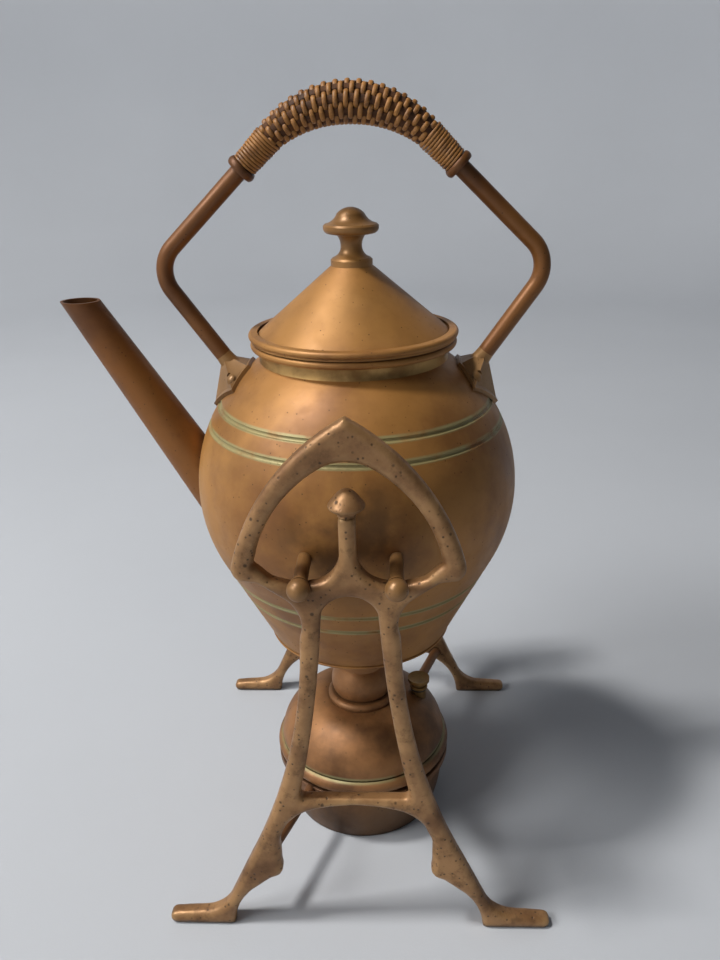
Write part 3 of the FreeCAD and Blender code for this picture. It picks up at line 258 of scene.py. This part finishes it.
def sheet_copper(name, dark, mid, light, shine=0.42, dull=0.56, spots=0.06, grooves=(), frame_shaded=()):
    """Lacquered sheet copper: cloudy browning, fine spots, and green in its rolled grooves."""
    look = Finish(name)
    cloud = look.noise(22, detail=5, roughness=0.6)
    colour = look.blend(look.step(cloud, 0.32, 0.62), tint(dark), tint(mid))
    bloom = look.noise(9, detail=3, roughness=0.5)
    colour = look.blend(look.step(bloom, 0.5, 0.75, 0.0, 0.7), colour, tint(light))
    mottle = look.noise(260, detail=4, roughness=0.65)
    colour = look.blend(look.step(mottle, 0.55, 0.8, 0.0, 0.35), colour, tint(dark))
    marks = look.specks(800, reach=0.3, share=spots)
    colour = look.stain(colour, marks, 0.75, GRIME_AND_SHADE)
    # Dark grime and painted shade in tight corners
    colour = look.stain(colour, look.corner_grime_and_shade(5), 0.5, GRIME_AND_SHADE)
    if grooves:
        patchy = look.step(look.noise(70), 0.25, 0.5)
        green = look.times(look.bands(grooves, *GROOVE_GREEN), patchy)
        colour = look.stain(colour, green, 0.7, VERDIGRIS)
    # Painted shade in patches on the belly behind each frame
    for spot in frame_shaded:
        patchy = look.step(look.noise(55, detail=5, roughness=0.6), 0.3, 0.62)
        frame_shade = look.times(look.near(spot, *FRAME_SHADE_REACH), patchy)
        colour = look.stain(colour, frame_shade, 0.6, GRIME_AND_SHADE)
    dullness = look.step(look.noise(60, detail=5, roughness=0.6), 0.3, 0.7, shine, dull)
    dullness = look.math("ADD", dullness, look.times(marks, 0.2))
    spun = look.noise(1.0, detail=2, roughness=0.5, stretch=(30, 30, 1500))
    relief = look.math("ADD", look.times(spun, 0.25), look.times(mottle, 0.35))
    return look.finish(colour, dullness, metallic=0.32, relief=relief, depth=0.05)


def cast_copper(name):
    """A rough copper casting: pits and dark skin, rubbed brassy on its edges."""
    look = Finish(name)
    cloud = look.noise(45, detail=5, roughness=0.6)
    colour = look.blend(look.step(cloud, 0.3, 0.68), CAST_DARK, CAST_BRIGHT)
    skin = look.noise(170, detail=5, roughness=0.7)
    colour = look.blend(look.step(skin, 0.5, 0.72, 0.0, 0.65), colour, CAST_SKIN)
    worn = look.times(look.edge(0.505, 0.56), look.step(look.noise(90, detail=3), 0.3, 0.6))
    colour = look.stain(colour, worn, 0.6, CAST_WORN)
    pits = look.specks(620, reach=0.38, share=0.2)
    pocks = look.specks(300, reach=0.3, share=0.1)
    holes = look.math("MAXIMUM", pits, pocks)
    colour = look.stain(colour, holes, 0.75, GRIME_AND_SHADE)
    # Dark grime and painted shade in tight corners
    colour = look.stain(colour, look.corner_grime_and_shade(7), 0.65, GRIME_AND_SHADE)
    dullness = look.step(skin, 0.3, 0.7, 0.34, 0.56)
    relief = look.math("SUBTRACT", look.times(skin, 0.7), look.times(holes, 0.6))
    return look.finish(colour, dullness, metallic=0.4, relief=relief, depth=0.2)


def brass(name, dark, mid, shine=0.34, dull=0.52):
    """Old brass, dark with grime and painted shade in its corners, and a little green."""
    look = Finish(name)
    cloud = look.noise(80, detail=5, roughness=0.6)
    colour = look.blend(look.step(cloud, 0.3, 0.65), tint(dark), tint(mid))
    green = look.step(look.noise(35), 0.56, 0.72, 0.0, 0.4)
    colour = look.blend(green, colour, VERDIGRIS)
    # Dark grime and painted shade in tight corners
    colour = look.stain(colour, look.corner_grime_and_shade(3), 0.6, GRIME_AND_SHADE)
    dullness = look.step(look.noise(150), 0.3, 0.7, shine, dull)
    return look.finish(colour, dullness, metallic=0.8, relief=look.noise(600, detail=3), depth=0.03)


def burner_copper(name):
    """Spun copper browned by heat, with painted shade below its band, greenish at its seam."""
    look = Finish(name)
    cloud = look.noise(30, detail=5, roughness=0.6)
    colour = look.blend(look.step(cloud, 0.32, 0.66), BURNER_DARK, BURNER_BRIGHT)
    brown = look.step(look.noise(16), 0.45, 0.7, 0.0, 0.5)
    colour = look.blend(brown, colour, BURNER_BROWN)
    marks = look.specks(600, reach=0.3, share=0.07)
    colour = look.stain(colour, marks, 0.7, GRIME_AND_SHADE)
    # Painted shade, darkest at the foot of the bowl, under its band
    colour = look.blend(look.climb(*BURNER_SHADE, 0.55, 0.0), colour, GRIME_AND_SHADE)
    patchy = look.step(look.noise(90), 0.3, 0.55)
    seam = look.times(look.bands(BURNER_SEAMS, *SEAM_GREEN), patchy)
    colour = look.stain(colour, seam, 0.6, VERDIGRIS)
    # Dark grime and painted shade in tight corners
    colour = look.stain(colour, look.corner_grime_and_shade(4), 0.5, GRIME_AND_SHADE)
    dullness = look.step(look.noise(70), 0.3, 0.7, 0.42, 0.58)
    spun = look.noise(1.0, detail=2, roughness=0.5, stretch=(30, 30, 1300))
    return look.finish(colour, dullness, metallic=0.4, relief=spun, depth=0.04)


def cane(name, dark, mid, light, shine=0.42):
    """Split cane: fine streaks, darkened by dirt and by painted shade where its strands tuck in."""
    look = Finish(name)
    patch = look.noise(140, detail=4, roughness=0.6)
    colour = look.blend(look.step(patch, 0.3, 0.6), tint(dark), tint(mid))
    streak = look.noise(900, detail=3, roughness=0.6)
    colour = look.blend(look.step(streak, 0.5, 0.8, 0.0, 0.8), colour, tint(light))
    # Dirt and painted shade in the tight corners of the weave
    colour = look.stain(colour, look.corner_grime_and_shade(2.5, 0.25, 0.75), 0.8, CANE_DIRT_AND_SHADE)
    dullness = look.step(patch, 0.3, 0.7, shine, shine + 0.2)
    return look.finish(colour, dullness, metallic=0.0, relief=streak, depth=0.12)


def cotton(name):
    """Wick cotton, charred where it stands out of its tube."""
    look = Finish(name)
    fibre = look.noise(1400, detail=4, roughness=0.7)
    colour = look.blend(look.step(fibre, 0.3, 0.7), COTTON_GREY, COTTON_PALE)
    colour = look.stain(colour, look.climb(*WICK_CHAR), 0.75, COTTON_CHAR)
    return look.finish(colour, roughness=0.95, metallic=0.0, relief=fibre, depth=0.25)


def rubber(name):
    """Black rubber with a little dust on it."""
    look = Finish(name)
    dust = look.noise(500, detail=4, roughness=0.6)
    colour = look.blend(look.step(dust, 0.35, 0.75), RUBBER_BLACK, RUBBER_DUST)
    dullness = look.step(dust, 0.3, 0.7, 0.6, 0.85)
    return look.finish(colour, dullness, metallic=0.0, relief=dust, depth=0.05)


def pale_floor(name):
    """Pale paper that shades off to grey far out on the side away from the light."""
    look = Finish(name)
    colour = look.blend(look.noise(3, detail=4, roughness=0.5), FLOOR_GREY, FLOOR_PALE)
    out = look.add("ShaderNodeVectorMath", operation="DOT_PRODUCT")
    look.feed(out.inputs[0], look.place)
    out.inputs[1].default_value = SHADE_SIDE
    colour = look.blend(look.step(out.outputs["Value"], *SHADE_RUN), colour, FLOOR_SHADE)
    grain = look.noise(900, detail=3, roughness=0.6)
    return look.finish(colour, roughness=0.9, metallic=0.0, relief=grain, depth=0.05)


looks = {
    "kettle_copper": sheet_copper("kettle_copper_look", *KETTLE_TINTS),
    "lid_copper": sheet_copper("lid_copper_look", *KETTLE_TINTS, spots=0.05),
    "handle_copper": sheet_copper(
        "handle_copper_look", "4E2E14", "744820", "8C5C2C", shine=0.36, dull=0.52, spots=0.12),
    "cast_copper": cast_copper("cast_copper_look"),
    "stand_rod": sheet_copper("stand_rod_look", "4E321E", "7C5535", "8E6440", dull=0.6, spots=0.2),
    "collar_brass": brass("collar_brass_look", "8E6C40", "C09A60"),
    "burner_copper": burner_copper("burner_copper_look"),
    "filler_brass": brass("filler_brass_look", "5E4526", "8F6F40", shine=0.36, dull=0.56),
    "cane": cane("cane_look", "6C4520", "9A6830", "BC8644"),
    "wick_cotton": cotton("wick_cotton_look"),
    "seal_rubber": rubber("seal_rubber_look"),
}
shell_look = sheet_copper("kettle_shell_look", *KETTLE_TINTS, grooves=GROOVES, frame_shaded=FRAME_SHADE_SPOTS)
spout_look = sheet_copper("spout_look", "5E3818", "82501F", "96652E")
foot_look = sheet_copper(
    "handle_foot_look", "6A4A2A", "9C7446", "B08A58", shine=0.36, dull=0.52, spots=0.12)
knob_look = sheet_copper("lid_knob_look", "704F2A", "A07440", "B28A54", shine=0.34, dull=0.5, spots=0.1)
# The stakes and the core are coloured dark brown as painted shade, for the gaps between the strands of the
# weave
stake_gap_shade_look = cane("cane_stake_gap_shade_look", "3C220C", "523012", "683F1A", shine=0.75)
own_looks = {
    "kettle_body": shell_look,
    "spout": spout_look,
    "left_handle_foot": foot_look,
    "right_handle_foot": foot_look,
    "handle_rivets": foot_look,
    "lid_knob": knob_look,
    **{f"{face}_{side}_peg": foot_look for face in ("front", "rear") for side in ("left", "right")},
}

slots = {piece["node"]: piece["material_slot"] for piece in frame["record"]["subparts"]}
bodies = {name: body for body, names in frame["record"]["behaviour"]["bodies"].items() for name in names}
for name, node in nodes.items():
    for place in node.material_slots:
        place.link = "OBJECT"
        place.material = own_looks.get(name, looks[slots[name]])


# Meshes

EASE_STEPS = 6  # points that a smooth outline has for each of its own


def piece_from(name, verts, faces, look):
    """A smooth mesh piece, from points in millimetres."""
    mesh = bpy.data.meshes.new(name)
    mesh.from_pydata([Vector(vert) * MM for vert in verts], [], faces)
    mesh.validate()
    mesh.update()
    mesh.shade_smooth()
    mesh.materials.append(look)
    piece = bpy.data.objects.new(name, mesh)
    bpy.context.scene.collection.objects.link(piece)
    return piece


def settle(piece, replaced):
    """The piece stands for a CAD node, takes its body, and hides the node."""
    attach(piece, bodies[replaced])
    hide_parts(replaced)


def ring_faces(start, rings, sides):
    """Four-sided faces between rings of verts that follow each other."""
    faces = []
    for ring in range(rings - 1):
        this = start + ring * sides
        after = this + sides
        for k in range(sides):
            beside = (k + 1) % sides
            faces.append((this + k, this + beside, after + beside, after + k))
    return faces


def strand(path, sides, width, thick, verts, faces):
    """Adds a tube of oval section along (point, outward, across) stations."""
    start = len(verts)
    for point, outward, across in path:
        for k in range(sides):
            angle = FULL_TURN * k / sides
            out = outward * (thick / 2 * math.cos(angle))
            verts.append(point + out + across * (width / 2 * math.sin(angle)))
    last = len(verts) - sides
    faces.extend(ring_faces(start, len(path), sides))
    faces.append(tuple(reversed(range(start, start + sides))))
    faces.append(tuple(range(last, last + sides)))


def lathe(name, outline, look, foot=(0, 0, 0), segments=64):
    """A turned piece, from points in radius and height; it closes at each end that is on the axis."""
    foot = Vector(foot)
    rings = [point for point in outline if point[0] > 0]
    verts = []
    for radius, level in rings:
        for k in range(segments):
            angle = FULL_TURN * k / segments
            verts.append(foot + Vector((radius * math.cos(angle), radius * math.sin(angle), level)))
    faces = ring_faces(0, len(rings), segments)
    last = len(verts) - segments
    pairs = [(k, (k + 1) % segments) for k in range(segments)]
    if outline[0][0] == 0:
        faces += [(len(verts), beside, k) for k, beside in pairs]
        verts.append(foot + Vector((0, 0, outline[0][1])))
    if outline[-1][0] == 0:
        faces += [(last + k, last + beside, len(verts)) for k, beside in pairs]
        verts.append(foot + Vector((0, 0, outline[-1][1])))
    return piece_from(name, verts, faces, look)


def between(ends, share):
    """The value at a share of the way from one end to the other."""
    return ends[0] + (ends[1] - ends[0]) * share


def spline(before, start, end, after, t):
    """Runs smoothly from start to end as t goes from 0 to 1, led by the values before and after."""
    square = 2 * before - 5 * start + 4 * end - after
    cube = 3 * start - before - 3 * end + after
    return 0.5 * (2 * start + (end - before) * t + square * t ** 2 + cube * t ** 3)


def eased(outline):
    """Runs a smooth curve through the points of an outline."""
    points = [outline[0], *outline, outline[-1]]
    curve = []
    for four in zip(points, points[1:], points[2:], points[3:]):
        for k in range(EASE_STEPS):
            curve.append(tuple(spline(*values, k / EASE_STEPS) for values in zip(*four)))
    return [*curve, outline[-1]]


# Stand: the castings keep the CAD's outline, with the rounded section of cast metal

GRAIN = 0.75  # cells of the frame's new mesh
ROUNDING = 3.8  # how far in from its outline a frame is at its full thickness
EDGE_SHARE = 0.45  # share of that thickness at the outline
WEAR = 10  # rounds of smoothing
WEAR_SHARE = 0.5
SWELL = 0.25  # what the smoothing took off, put back
SOLE = 1.4  # height of the soles, which are set down on the floor again
SHRINK = 0.3  # how far the smoothing lifted them
FLATNESS = 0.01
BUD = [
    (0, 0), (3.1, 0), (3.2, 0.5), (3.5, 1.1), (4.7, 2.0), (6.1, 3.0), (6.7, 3.9), (6.5, 4.6), (5.9, 5.5),
    (4.7, 7.1), (3.3, 8.7), (1.7, 9.9), (0, 10.2),
]


def outline_points(mesh, level):
    """Points along the edges of the flat face that lies at a level of y, as a tree to search."""
    spots = [vert.co for vert in mesh.vertices]
    uses = {}
    for face in mesh.polygons:
        if all(abs(spots[k].y - level) < FLATNESS * MM for k in face.vertices):
            for key in face.edge_keys:
                uses[key] = uses.get(key, 0) + 1
    points = []
    spacing = GRAIN / 2 * MM
    for (first, second), count in uses.items():
        if count == 1:
            start, end = spots[first], spots[second]
            parts = max(1, round((end - start).length / spacing))
            points += [start.lerp(end, k / parts) for k in range(parts)]
    tree = kdtree.KDTree(len(points))
    for k, point in enumerate(points):
        tree.insert((point.x, 0, point.z), k)
    tree.balance()
    return tree


def reshaped(piece, kind, **settings):
    """Bakes one modifier into the piece's mesh."""
    change = piece.modifiers.new("change", kind)
    for key, value in settings.items():
        setattr(change, key, value)
    bpy.context.view_layer.update()
    evaluated = piece.evaluated_get(bpy.context.evaluated_depsgraph_get())
    shaped = bpy.data.meshes.new_from_object(evaluated)
    piece.modifiers.clear()
    piece.data = shaped
    return shaped


def vertex_table(mesh, field):
    values = np.zeros(3 * len(mesh.vertices), np.float32)
    mesh.vertices.foreach_get(field, values)
    return values.reshape(-1, 3)


def set_vertices(mesh, spots):
    mesh.vertices.foreach_set("co", spots.astype(np.float32).ravel())
    mesh.update()


def casting(name):
    """A frame, thinned towards its outline to a rounded section."""
    source = nodes[name].data
    low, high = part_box(name)
    middle = (low.y + high.y) / 2
    outer_face = low.y if middle < 0 else high.y
    piece = bpy.data.objects.new(f"{name}_casting", source.copy())
    bpy.context.scene.collection.objects.link(piece)

    shaped = reshaped(piece, "REMESH", mode="VOXEL", voxel_size=GRAIN * MM)
    rim = outline_points(source, outer_face)
    spots = vertex_table(shaped, "co")
    away = np.array([rim.find((x, 0, z))[2] for x, _, z in spots]) / MM
    inward = 1 - np.minimum(away / ROUNDING, 1)
    section = EDGE_SHARE + (1 - EDGE_SHARE) * np.sqrt(1 - inward ** 2)
    spots[:, 1] = middle + (spots[:, 1] - middle) * section
    set_vertices(shaped, spots)

    shaped = reshaped(piece, "SMOOTH", factor=WEAR_SHARE, iterations=WEAR)
    spots = vertex_table(shaped, "co") + vertex_table(shaped, "normal") * SWELL * MM
    level = spots[:, 2]
    lowered = np.maximum(0.0, (level - SHRINK * MM) * SOLE / (SOLE - SHRINK))
    spots[:, 2] = np.where(level < SOLE * MM, lowered, level)
    set_vertices(shaped, np.clip(spots, low, high))
    shaped.shade_smooth()
    shaped.materials.clear()
    shaped.materials.append(looks["cast_copper"])
    settle(piece, name)


def bud(name, node):
    """A turned bud, its tip where the finial's is."""
    low, high = box(node)
    middle = (low + high) / 2
    foot = (middle.x, middle.y, high.z - BUD[-1][1])
    settle(lathe(name, eased(BUD), looks["cast_copper"], foot), node)


for face in ("front", "rear"):
    casting(f"{face}_frame")
    bud(f"{face}_bud", f"{face}_bud_finial")


# Handle: woven grip and end windings, on the bow's top arc and its two slopes

CROWN_RADIUS = 46.0
SLOPE = math.radians(44)
GRIP_RADII = (8.3, 7.9, 7.0, 5.7)  # from the grip's middle to its ends
CROWN_CENTRE = box("woven_grip")[1].z - GRIP_RADII[0] - CROWN_RADIUS
ACROSS = Vector((0, 1, 0))
CANE_SIDES = 10
WEAVER = (1.95, 1.1)  # width and thickness of a strand
WEAVE_TURNS = 36
WEAVE_STEPS = 60  # stations in each turn
STAKES = 9
STAKE = (3.2, 0.9)
STAKE_STEPS = 60
OVER_UNDER = 0.8  # how far the weaver goes in and out from the stakes
DIP_SHARPNESS = 1.6
CORE_SINK = 1.9
CORE_SIDES = 24
WRAP_STRAND = (1.28, 1.0)
WRAP_TURNS = 11
WRAP_STEPS = 48
WRAP_RUN = (-1.3, 13.1)  # from under the grip's end to the ferrule
WRAP_RADII = (5.45, 4.8)
WRAP_WAVER = 0.07  # how unevenly the turns lie
WAVER_RATE = 2.3 / math.pi


def grip_radius(share):
    """The grip's radius at a share of the way from its middle to an end."""
    spans = len(GRIP_RADII) - 1
    index = min(int(share * spans), spans - 1)
    radii = [*GRIP_RADII, 2 * GRIP_RADII[-1] - GRIP_RADII[-2]]
    return spline(radii[abs(index - 1)], *radii[index:index + 3], share * spans - index)


def grip_station(along, turn, sink):
    """A point on the grip, along from -1 to 1, sunk below its surface, with the ways out and along."""
    lean = SLOPE * along
    radial = Vector((math.sin(lean), 0, math.cos(lean)))
    forward = Vector((math.cos(lean), 0, -math.sin(lean)))
    outward = radial * math.cos(turn) + ACROSS * math.sin(turn)
    centre = Vector((0, 0, CROWN_CENTRE)) + radial * CROWN_RADIUS
    return centre + outward * (grip_radius(abs(along)) - sink), outward, forward


def grip_weave():
    """One strand, wound from end to end over and under the stakes."""
    steps = WEAVE_STEPS * WEAVE_TURNS
    path = []
    for k in range(steps + 1):
        share = k / steps
        turn = FULL_TURN * WEAVE_TURNS * share
        dip = (1 - math.cos(STAKES * turn / 2)) / 2
        sink = WEAVER[1] / 2 + 2 * OVER_UNDER * dip ** DIP_SHARPNESS
        path.append(grip_station(2 * share - 1, turn, sink))
    verts, faces = [], []
    strand(path, CANE_SIDES, *WEAVER, verts, faces)
    settle(piece_from("grip_weave", verts, faces, looks["cane"]), "woven_grip")


def grip_stakes():
    """Flat stakes along the grip, and the core inside them, both dark brown as painted shade in the weave's
    gaps.
    """
    stations = [2 * k / STAKE_STEPS - 1 for k in range(STAKE_STEPS + 1)]
    verts, faces = [], []
    for stake in range(STAKES):
        turn = FULL_TURN * stake / STAKES
        path = []
        for along in stations:
            point, outward, forward = grip_station(along, turn, WEAVER[1] / 2 + OVER_UNDER)
            path.append((point, outward, outward.cross(forward)))
        strand(path, CANE_SIDES, *STAKE, verts, faces)
    faces += ring_faces(len(verts), len(stations), CORE_SIDES)
    for along in stations:
        for k in range(CORE_SIDES):
            verts.append(grip_station(along, FULL_TURN * k / CORE_SIDES, CORE_SINK)[0])
    stakes = piece_from("grip_stakes", verts, faces, stake_gap_shade_look)
    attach(stakes, "kettle")


def cane_wrap(name, side):
    """Close turns of one strand of cane round the slope of the bow, from the grip to the ferrule."""
    way = Vector((side * math.cos(SLOPE), 0, -math.sin(SLOPE)))
    crown = Vector((side * math.sin(SLOPE), 0, math.cos(SLOPE))) * CROWN_RADIUS
    top = Vector((0, 0, CROWN_CENTRE)) + crown
    rise = way.cross(ACROSS)
    steps = WRAP_STEPS * WRAP_TURNS
    path = []
    for k in range(steps + 1):
        share = k / steps
        turn = FULL_TURN * WRAP_TURNS * share
        run = between(WRAP_RUN, share)
        radius = between(WRAP_RADII, share) + WRAP_WAVER * math.sin(WAVER_RATE * turn)
        outward = ACROSS * math.cos(turn) + rise * math.sin(turn)
        path.append((top + way * run + outward * radius, outward, way))
    verts, faces = [], []
    strand(path, CANE_SIDES, *WRAP_STRAND, verts, faces)
    settle(piece_from(f"{name}_winding", verts, faces, looks["cane"]), name)


grip_weave()
grip_stakes()
cane_wrap("left_cane_wrap", -1)
cane_wrap("right_cane_wrap", 1)


# Wick: a bundle of twisted cotton strands in the tube

WICK_ROUNDS = ((0.0, 1), (1.9, 6), (4.1, 12))  # distance from the middle and number of strands
WICK_STRAND = (2.15, 2.15)
WICK_SIDES = 8
WICK_TWIST = 1.5
WICK_STEPS = 40
WICK_CROWN = 0.05  # how much lower the outer strands end, for the square of their distance


def wick():
    """Rounds of strands about a middle one, which stands highest."""
    low, high = box("wick")
    verts, faces = [], []
    for reach, count in WICK_ROUNDS:
        length = high.z - low.z - WICK_CROWN * reach ** 2
        for number in range(count):
            path = []
            for k in range(WICK_STEPS + 1):
                share = k / WICK_STEPS
                turn = FULL_TURN * (number / count + WICK_TWIST * share)
                outward = Vector((math.cos(turn), math.sin(turn), 0))
                across = Vector((-math.sin(turn), math.cos(turn), 0))
                level = Vector((0, 0, low.z + length * share))
                path.append((outward * reach + level, outward, across))
            strand(path, WICK_SIDES, *WICK_STRAND, verts, faces)
    settle(piece_from("wick_strands", verts, faces, looks["wick_cotton"]), "wick")


wick()


# Stage, light and camera

FLOOR_REACH = 1400.0
FLOOR_RINGS = 6
FLOOR_BEND = 500.0
BEND_STEPS = 8
WALL_TOP = 1700.0
STAGE_SEGMENTS = 96
LIGHTS = {
    "key_light": {
        "place": (-1.05, -0.26, 2.15), "aim": (0, 0, 0.1), "size": 0.28, "power": 37.0,
        "colour": (1.0, 0.97, 0.93),
    },
    "window_light": {
        "place": (-1.7, -0.85, 1.3), "aim": (0, 0, 0.2), "size": 1.0, "power": 56.0,
        "colour": (1.0, 0.99, 0.97),
    },
    "backdrop_light": {
        "place": (0.1, 0.9, 1.5), "aim": (0, 1.7, 0.45), "size": 0.8, "power": 1.5,
        "colour": (1.0, 1.0, 1.0),
    },
}
ROOM_COLOUR = (0.82, 0.84, 0.88, 1.0)
ROOM_LIGHT = 0.05

# The camera is the photograph's, fitted to the outlines of the stand and the kettle
CAMERA_PLACE = (0.016845, -0.352097, 0.323529)
CAMERA_FORWARD = (-0.0406, 0.9213, -0.3867)
CAMERA_RIGHT = (0.9992, 0.0351, -0.0212)
CAMERA_SENSOR = 36.0
CAMERA_LENS = 31.65


def stage_floor():
    """A pale floor that curves up all round into a backdrop."""
    outline = [(FLOOR_REACH * k / FLOOR_RINGS, 0) for k in range(FLOOR_RINGS + 1)]
    for k in range(1, BEND_STEPS + 1):
        angle = FULL_TURN / 4 * k / BEND_STEPS
        outline.append((FLOOR_REACH + FLOOR_BEND * math.sin(angle), FLOOR_BEND * (1 - math.cos(angle))))
    outline.append((FLOOR_REACH + FLOOR_BEND, WALL_TOP))
    from_wall_in = outline[::-1]
    floor = lathe("stage_floor", from_wall_in, pale_floor("pale_floor_look"), segments=STAGE_SEGMENTS)


def soft_light(name, place, aim, size, power, colour):
    lamp = bpy.data.lights.new(name, "AREA")
    lamp.size = size
    lamp.energy = power
    lamp.color = colour
    holder = bpy.data.objects.new(name, lamp)
    bpy.context.scene.collection.objects.link(holder)
    holder.location = place
    holder.rotation_euler = (Vector(aim) - Vector(place)).to_track_quat("-Z", "Y").to_euler()


def room_light():
    world = bpy.data.worlds.new("room")
    world.use_nodes = True
    background = world.node_tree.nodes["Background"]
    background.inputs["Color"].default_value = ROOM_COLOUR
    background.inputs["Strength"].default_value = ROOM_LIGHT
    bpy.context.scene.world = world


def photo_camera():
    """The camera, its upright worked out from where it looks and what is to its right."""
    view = bpy.data.cameras.new("camera")
    view.sensor_width = CAMERA_SENSOR
    view.lens = CAMERA_LENS
    camera = bpy.data.objects.new("camera", view)
    bpy.context.scene.collection.objects.link(camera)
    forward = Vector(CAMERA_FORWARD).normalized()
    right = Vector(CAMERA_RIGHT).normalized()
    right = (right - forward * right.dot(forward)).normalized()
    facing = Matrix((right, right.cross(forward), -forward)).transposed().to_4x4()
    camera.matrix_world = Matrix.Translation(CAMERA_PLACE) @ facing
    bpy.context.scene.camera = camera


stage_floor()
for name, light in LIGHTS.items():
    soft_light(name, **light)
room_light()
photo_camera()
bpy.context.scene.view_settings.view_transform = "Standard"
